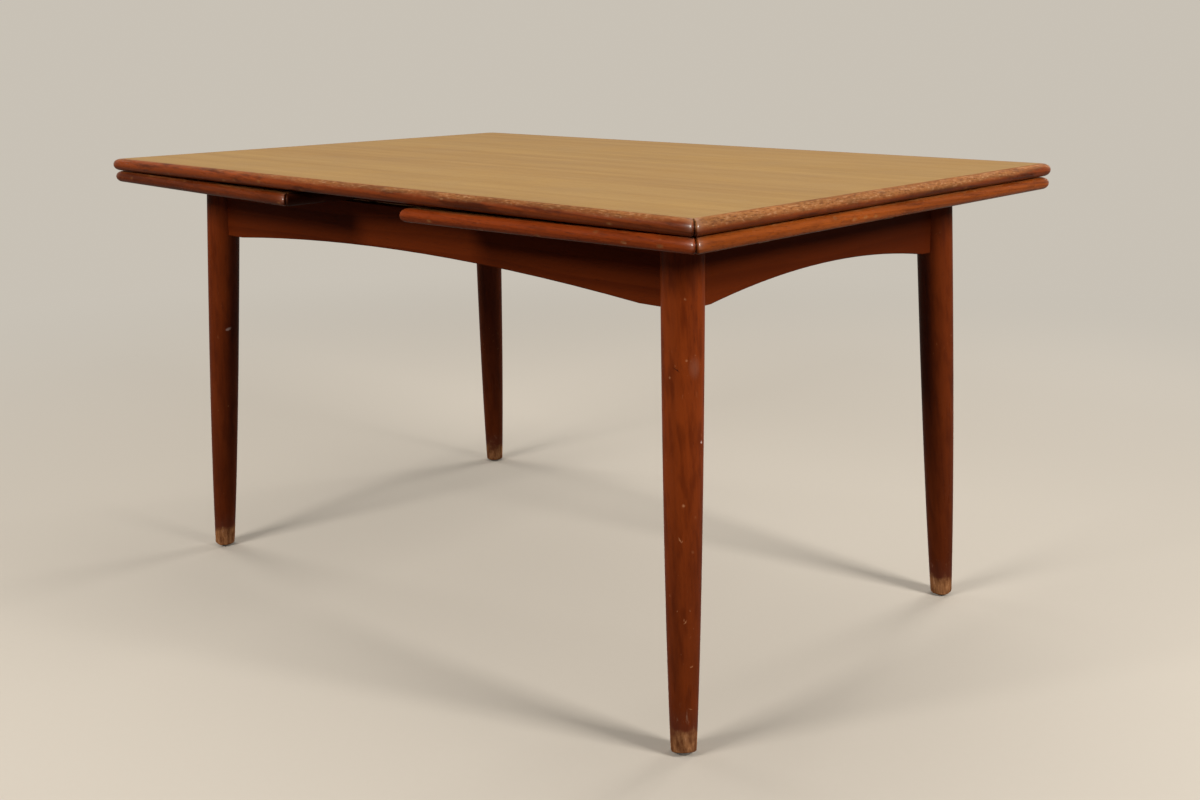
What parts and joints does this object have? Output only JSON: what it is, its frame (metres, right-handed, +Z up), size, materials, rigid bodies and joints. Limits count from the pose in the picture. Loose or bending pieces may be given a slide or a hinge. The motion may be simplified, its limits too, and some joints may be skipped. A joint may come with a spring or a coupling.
{
  "type": "draw leaf table",
  "caption": "Teak dining table with a loose round-edged top, draw leaves stowed under it on sliding bearers, arched rails and splayed round tapered legs.",
  "frame": {"origin": "middle of the table on the floor", "axes": "+X along the table to the right leaf, +Y to the back, +Z up"},
  "size_m": [1.3202, 0.912, 0.735],
  "materials": {
    "veneer": "satin veneer",
    "lipping": "satin oiled",
    "frame_teak": "satin oiled",
    "beech": "bare",
    "steel": "worn",
    "felt": "matt"
  },
  "bodies": {
    "frame": {"centre_board": "beech", "centre_board_screws": "steel", "corner_block_back_left": "beech", "corner_block_back_right": "beech", "corner_block_front_left": "beech", "corner_block_front_right": "beech", "corner_block_screws": "steel", "cross_rail_left": "beech", "cross_rail_right": "beech", "end_rail_left": "frame_teak", "end_rail_right": "frame_teak", "glide_back_left": "steel", "glide_back_right": "steel", "glide_front_left": "steel", "glide_front_right": "steel", "leg_back_left": "frame_teak", "leg_back_right": "frame_teak", "leg_front_left": "frame_teak", "leg_front_right": "frame_teak", "side_rail_back": "frame_teak", "side_rail_front": "frame_teak"},
    "main_top": {"top_felt_pads": "felt", "top_guide_peg_back": "beech", "top_guide_peg_front": "beech", "top_lipping_back": "lipping", "top_lipping_front": "lipping", "top_lipping_left": "lipping", "top_lipping_right": "lipping", "top_panel": "veneer", "top_peg_pins": "steel"},
    "left_leaf": {"left_leaf_bearer_back": "beech", "left_leaf_bearer_front": "beech", "left_leaf_bearer_screws": "steel", "left_leaf_lipping_back": "lipping", "left_leaf_lipping_front": "lipping", "left_leaf_lipping_inner": "lipping", "left_leaf_lipping_outer": "lipping", "left_leaf_panel": "veneer", "left_leaf_stop_pegs": "beech"},
    "right_leaf": {"right_leaf_bearer_back": "beech", "right_leaf_bearer_front": "beech", "right_leaf_bearer_screws": "steel", "right_leaf_lipping_back": "lipping", "right_leaf_lipping_front": "lipping", "right_leaf_lipping_inner": "lipping", "right_leaf_lipping_outer": "lipping", "right_leaf_panel": "veneer", "right_leaf_stop_pegs": "beech"}
  },
  "joints": [
    {"name": "right_leaf_draw", "type": "slide", "parent": "frame", "child": "right_leaf", "axis": [0.9999, 0, 0.0114], "range_m": [0, 0.528]},
    {"name": "left_leaf_draw", "type": "slide", "parent": "frame", "child": "left_leaf", "axis": [-0.9999, 0, 0.0114], "range_m": [0, 0.528]},
    {"name": "top_lift", "type": "slide", "parent": "frame", "child": "main_top", "axis": [0, 0, 1], "range_m": [0, 0.023]}
  ]
}
